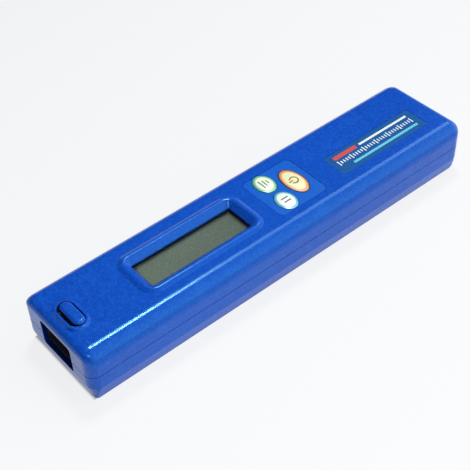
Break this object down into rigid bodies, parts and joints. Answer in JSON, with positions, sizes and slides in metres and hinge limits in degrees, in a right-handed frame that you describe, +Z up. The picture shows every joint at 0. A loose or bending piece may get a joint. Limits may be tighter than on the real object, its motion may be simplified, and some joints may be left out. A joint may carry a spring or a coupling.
{
  "type": "digital stick thermometer",
  "caption": "Hand-held stick thermometer: display in a raised rim, oval keys, thermocouple socket in the nose with a release button, and a sliding battery door underneath.",
  "frame": {"origin": "middle of the underside, on the plane the stick rests on", "axes": "+X along the stick from the socket in the nose to the tail, +Y across, +Z up out of the display face"},
  "size_m": [0.1712, 0.038, 0.0219],
  "materials": {
    "blue_shell": "satin moulded",
    "clear_lens": "clear moulded",
    "black_plastic": "moulded",
    "display_glass": "polarised",
    "reflector_foil": "satin",
    "zebra_rubber": "soft",
    "board_laminate": "solder mask",
    "chip_resin": "moulded",
    "overlay_film": "printed film",
    "name_film": "printed film",
    "contact_alloy": "rolled",
    "spring_steel": "rolled",
    "screw_steel": "plated",
    "cell_jacket": "printed sleeve",
    "plated_strip": "nickel plated",
    "power_key_cap": "printed dome",
    "mode_key_cap": "printed dome",
    "hold_key_cap": "printed dome"
  },
  "bodies": {
    "housing": {"top_case": "blue_shell", "bottom_case": "blue_shell", "window_lens": "clear_lens", "display_frame": "black_plastic", "probe_socket": "black_plastic", "display_glass": "display_glass", "display_reflector": "reflector_foil", "zebra_strips": "zebra_rubber", "main_board": "board_laminate", "board_parts": "chip_resin", "key_overlay": "overlay_film", "name_plate": "name_film", "socket_contacts": "contact_alloy", "release_spring": "spring_steel", "case_screws": "screw_steel", "board_screws": "screw_steel", "battery_cells": "cell_jacket", "battery_nose_contacts": "plated_strip", "battery_tail_contact": "plated_strip", "power_dome": "spring_steel", "mode_dome": "spring_steel", "hold_dome": "spring_steel"},
    "power_key": {"power_key": "power_key_cap"},
    "mode_key": {"mode_key": "mode_key_cap"},
    "hold_key": {"hold_key": "hold_key_cap"},
    "release_button": {"release_button": "blue_shell", "release_yoke": "black_plastic"},
    "battery_door": {"battery_door": "blue_shell"}
  },
  "joints": [
    {"name": "power_key_press", "type": "slide", "parent": "housing", "child": "power_key", "axis": [0, 0, -1], "range_m": [0, 0.0006], "stiffness_N_per_m": 1200, "springref_m": -0.0002, "deforming": ["power_dome"]},
    {"name": "mode_key_press", "type": "slide", "parent": "housing", "child": "mode_key", "axis": [0, 0, -1], "range_m": [0, 0.0006], "stiffness_N_per_m": 1200, "springref_m": -0.0002, "deforming": ["mode_dome"]},
    {"name": "hold_key_press", "type": "slide", "parent": "housing", "child": "hold_key", "axis": [0, 0, -1], "range_m": [0, 0.0006], "stiffness_N_per_m": 1200, "springref_m": -0.0002, "deforming": ["hold_dome"]},
    {"name": "release_button_press", "type": "slide", "parent": "housing", "child": "release_button", "axis": [0, 0, -1], "range_m": [0, 0.0008], "stiffness_N_per_m": 1500, "springref_m": -0.0004, "deforming": ["release_spring"]},
    {"name": "battery_door_slide", "type": "slide", "parent": "housing", "child": "battery_door", "axis": [1, 0, 0], "range_m": [0, 0.0555]}
  ]
}
